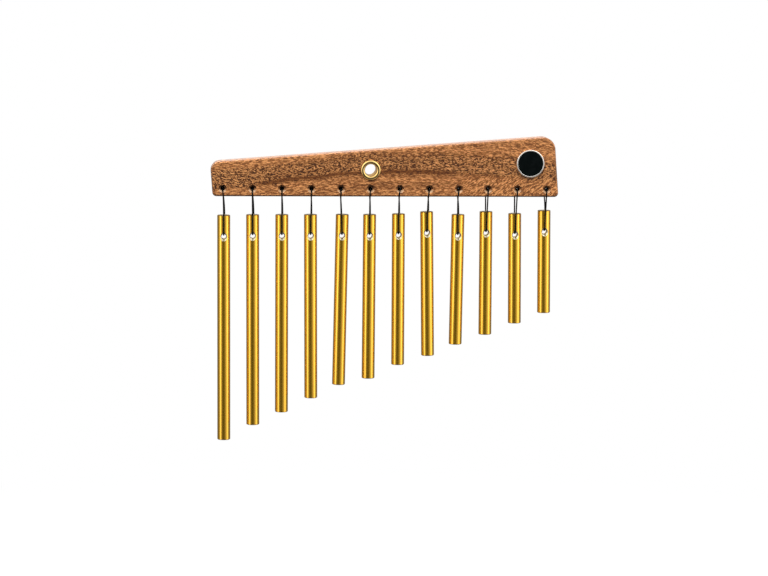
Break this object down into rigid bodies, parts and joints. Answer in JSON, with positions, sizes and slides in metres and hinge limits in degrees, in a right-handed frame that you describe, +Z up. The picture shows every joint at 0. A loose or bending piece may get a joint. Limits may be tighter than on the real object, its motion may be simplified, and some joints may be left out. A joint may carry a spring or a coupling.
{
  "type": "bar chimes",
  "caption": "Hanging bar chimes: solid gold-coloured metal bars of stepped length swing on black cord loops below a tapered wooden beam with a brass eyelet.",
  "frame": {"origin": "middle of the eyelet's bore, halfway through the beam's thickness", "axes": "+X along the beam towards its deep end and the short bars, +Y from the front to the back along the eyelet's bore, +Z up"},
  "size_m": [0.2538, 0.0216, 0.2236],
  "materials": {
    "wood": "open-pored, satin lacquer",
    "gold_bar": "gold anodised, polished",
    "brass": "bright",
    "bright_metal": "bright",
    "dark_enamel": "gloss",
    "sticky_pad": "matt foam",
    "black_cord": "braided"
  },
  "bodies": {
    "holder": {"holder_beam": "wood", "mount_eyelet": "brass", "eyelet_washer": "brass", "badge_bezel": "bright_metal", "badge_disc": "dark_enamel", "badge_pad": "sticky_pad"},
    "knot_01": {"cord_knot_01": "black_cord"},
    "loop_01": {"cord_loop_01": "black_cord"},
    "bar_01": {"chime_bar_01": "gold_bar"},
    "knot_02": {"cord_knot_02": "black_cord"},
    "loop_02": {"cord_loop_02": "black_cord"},
    "bar_02": {"chime_bar_02": "gold_bar"},
    "knot_03": {"cord_knot_03": "black_cord"},
    "loop_03": {"cord_loop_03": "black_cord"},
    "bar_03": {"chime_bar_03": "gold_bar"},
    "knot_04": {"cord_knot_04": "black_cord"},
    "loop_04": {"cord_loop_04": "black_cord"},
    "bar_04": {"chime_bar_04": "gold_bar"},
    "knot_05": {"cord_knot_05": "black_cord"},
    "loop_05": {"cord_loop_05": "black_cord"},
    "bar_05": {"chime_bar_05": "gold_bar"},
    "knot_06": {"cord_knot_06": "black_cord"},
    "loop_06": {"cord_loop_06": "black_cord"},
    "bar_06": {"chime_bar_06": "gold_bar"},
    "knot_07": {"cord_knot_07": "black_cord"},
    "loop_07": {"cord_loop_07": "black_cord"},
    "bar_07": {"chime_bar_07": "gold_bar"},
    "knot_08": {"cord_knot_08": "black_cord"},
    "loop_08": {"cord_loop_08": "black_cord"},
    "bar_08": {"chime_bar_08": "gold_bar"},
    "knot_09": {"cord_knot_09": "black_cord"},
    "loop_09": {"cord_loop_09": "black_cord"},
    "bar_09": {"chime_bar_09": "gold_bar"},
    "knot_10": {"cord_knot_10": "black_cord"},
    "loop_10": {"cord_loop_10": "black_cord"},
    "bar_10": {"chime_bar_10": "gold_bar"},
    "knot_11": {"cord_knot_11": "black_cord"},
    "loop_11": {"cord_loop_11": "black_cord"},
    "bar_11": {"chime_bar_11": "gold_bar"},
    "knot_12": {"cord_knot_12": "black_cord"},
    "loop_12": {"cord_loop_12": "black_cord"},
    "bar_12": {"chime_bar_12": "gold_bar"}
  },
  "joints": [
    {"name": "loop_sway_01", "type": "hinge", "parent": "holder", "child": "knot_01", "pos_m": [-0.1075, 0, -0.01465], "axis": [0, -1, 0], "range_deg": [-40, 3.7]},
    {"name": "loop_rock_01", "type": "hinge", "parent": "knot_01", "child": "loop_01", "pos_m": [-0.1075, 0, -0.0194], "axis": [1, 0, 0], "range_deg": [-30, 30], "deforming": ["cord_loop_01"]},
    {"name": "bar_swing_01", "type": "hinge", "parent": "loop_01", "child": "bar_01", "pos_m": [-0.10662, 0, -0.04824], "axis": [0, -1, 0], "range_deg": [-30, 4.6]},
    {"name": "loop_sway_02", "type": "hinge", "parent": "holder", "child": "knot_02", "pos_m": [-0.086, 0, -0.01465], "axis": [0, -1, 0], "range_deg": [-3.7, 3.8]},
    {"name": "loop_rock_02", "type": "hinge", "parent": "knot_02", "child": "loop_02", "pos_m": [-0.086, 0, -0.0194], "axis": [1, 0, 0], "range_deg": [-30, 30], "deforming": ["cord_loop_02"]},
    {"name": "bar_swing_02", "type": "hinge", "parent": "loop_02", "child": "bar_02", "pos_m": [-0.08554, 0, -0.04785], "axis": [0, -1, 0], "range_deg": [-4.6, 4.7]},
    {"name": "loop_sway_03", "type": "hinge", "parent": "holder", "child": "knot_03", "pos_m": [-0.0645, 0, -0.01465], "axis": [0, -1, 0], "range_deg": [-3.8, 4.2]},
    {"name": "loop_rock_03", "type": "hinge", "parent": "knot_03", "child": "loop_03", "pos_m": [-0.0645, 0, -0.0194], "axis": [1, 0, 0], "range_deg": [-30, 30], "deforming": ["cord_loop_03"]},
    {"name": "bar_swing_03", "type": "hinge", "parent": "loop_03", "child": "bar_03", "pos_m": [-0.06427, 0, -0.04775], "axis": [0, -1, 0], "range_deg": [-4.8, 5.4]},
    {"name": "loop_sway_04", "type": "hinge", "parent": "holder", "child": "knot_04", "pos_m": [-0.043, 0, -0.01465], "axis": [0, -1, 0], "range_deg": [-4.3, 4.1]},
    {"name": "loop_rock_04", "type": "hinge", "parent": "knot_04", "child": "loop_04", "pos_m": [-0.043, 0, -0.0194], "axis": [1, 0, 0], "range_deg": [-30, 30], "deforming": ["cord_loop_04"]},
    {"name": "bar_swing_04", "type": "hinge", "parent": "loop_04", "child": "bar_04", "pos_m": [-0.04329, 0, -0.04765], "axis": [0, -1, 0], "range_deg": [-5.5, 5.3]},
    {"name": "loop_sway_05", "type": "hinge", "parent": "holder", "child": "knot_05", "pos_m": [-0.0215, 0, -0.01465], "axis": [0, -1, 0], "range_deg": [-4.1, 4.7]},
    {"name": "loop_rock_05", "type": "hinge", "parent": "knot_05", "child": "loop_05", "pos_m": [-0.0215, 0, -0.0194], "axis": [1, 0, 0], "range_deg": [-30, 30], "deforming": ["cord_loop_05"]},
    {"name": "bar_swing_05", "type": "hinge", "parent": "loop_05", "child": "bar_05", "pos_m": [-0.02035, 0, -0.04753], "axis": [0, -1, 0], "range_deg": [-5.3, 6.2]},
    {"name": "loop_sway_06", "type": "hinge", "parent": "holder", "child": "knot_06", "pos_m": [0, 0, -0.01465], "axis": [0, -1, 0], "range_deg": [-4.8, 5.1]},
    {"name": "loop_rock_06", "type": "hinge", "parent": "knot_06", "child": "loop_06", "pos_m": [0, 0, -0.0194], "axis": [1, 0, 0], "range_deg": [-30, 30], "deforming": ["cord_loop_06"]},
    {"name": "bar_swing_06", "type": "hinge", "parent": "loop_06", "child": "bar_06", "pos_m": [-0.00011, 0, -0.04755], "axis": [0, -1, 0], "range_deg": [-6.3, 6.8]},
    {"name": "loop_sway_07", "type": "hinge", "parent": "holder", "child": "knot_07", "pos_m": [0.0215, 0, -0.01465], "axis": [0, -1, 0], "range_deg": [-5.1, 5.6]},
    {"name": "loop_rock_07", "type": "hinge", "parent": "knot_07", "child": "loop_07", "pos_m": [0.0215, 0, -0.0194], "axis": [1, 0, 0], "range_deg": [-30, 30], "deforming": ["cord_loop_07"]},
    {"name": "bar_swing_07", "type": "hinge", "parent": "loop_07", "child": "bar_07", "pos_m": [0.0211, 0, -0.04705], "axis": [0, -1, 0], "range_deg": [-6.9, 7.5]},
    {"name": "loop_sway_08", "type": "hinge", "parent": "holder", "child": "knot_08", "pos_m": [0.043, 0, -0.01465], "axis": [0, -1, 0], "range_deg": [-5.6, 5.1]},
    {"name": "loop_rock_08", "type": "hinge", "parent": "knot_08", "child": "loop_08", "pos_m": [0.043, 0, -0.0194], "axis": [1, 0, 0], "range_deg": [-30, 30], "deforming": ["cord_loop_08"]},
    {"name": "bar_swing_08", "type": "hinge", "parent": "loop_08", "child": "bar_08", "pos_m": [0.04193, 0, -0.04543], "axis": [0, -1, 0], "range_deg": [-7.5, 7]},
    {"name": "loop_sway_09", "type": "hinge", "parent": "holder", "child": "knot_09", "pos_m": [0.0645, 0, -0.01465], "axis": [0, -1, 0], "range_deg": [-5.2, 6.2]},
    {"name": "loop_rock_09", "type": "hinge", "parent": "knot_09", "child": "loop_09", "pos_m": [0.0645, 0, -0.0194], "axis": [1, 0, 0], "range_deg": [-30, 30], "deforming": ["cord_loop_09"]},
    {"name": "bar_swing_09", "type": "hinge", "parent": "loop_09", "child": "bar_09", "pos_m": [0.06467, 0, -0.04745], "axis": [0, -1, 0], "range_deg": [-7.4, 9]},
    {"name": "loop_sway_10", "type": "hinge", "parent": "holder", "child": "knot_10", "pos_m": [0.086, 0, -0.01465], "axis": [0, -1, 0], "range_deg": [-6.3, 6.7]},
    {"name": "loop_rock_10", "type": "hinge", "parent": "knot_10", "child": "loop_10", "pos_m": [0.086, 0, -0.0194], "axis": [1, 0, 0], "range_deg": [-30, 30], "deforming": ["cord_loop_10"]},
    {"name": "bar_swing_10", "type": "hinge", "parent": "loop_10", "child": "bar_10", "pos_m": [0.08547, 0, -0.04525], "axis": [0, -1, 0], "range_deg": [-8.9, 9.7]},
    {"name": "loop_sway_11", "type": "hinge", "parent": "holder", "child": "knot_11", "pos_m": [0.1075, 0, -0.01465], "axis": [0, -1, 0], "range_deg": [-6.8, 7.2]},
    {"name": "loop_rock_11", "type": "hinge", "parent": "knot_11", "child": "loop_11", "pos_m": [0.1075, 0, -0.0194], "axis": [1, 0, 0], "range_deg": [-30, 30], "deforming": ["cord_loop_11"]},
    {"name": "bar_swing_11", "type": "hinge", "parent": "loop_11", "child": "bar_11", "pos_m": [0.10677, 0, -0.04664], "axis": [0, -1, 0], "range_deg": [-10.2, 11]},
    {"name": "loop_sway_12", "type": "hinge", "parent": "holder", "child": "knot_12", "pos_m": [0.129, 0, -0.01465], "axis": [0, -1, 0], "range_deg": [-7.4, 40]},
    {"name": "loop_rock_12", "type": "hinge", "parent": "knot_12", "child": "loop_12", "pos_m": [0.129, 0, -0.0194], "axis": [1, 0, 0], "range_deg": [-30, 30], "deforming": ["cord_loop_12"]},
    {"name": "bar_swing_12", "type": "hinge", "parent": "loop_12", "child": "bar_12", "pos_m": [0.12843, 0, -0.04434], "axis": [0, -1, 0], "range_deg": [-11, 30]}
  ]
}
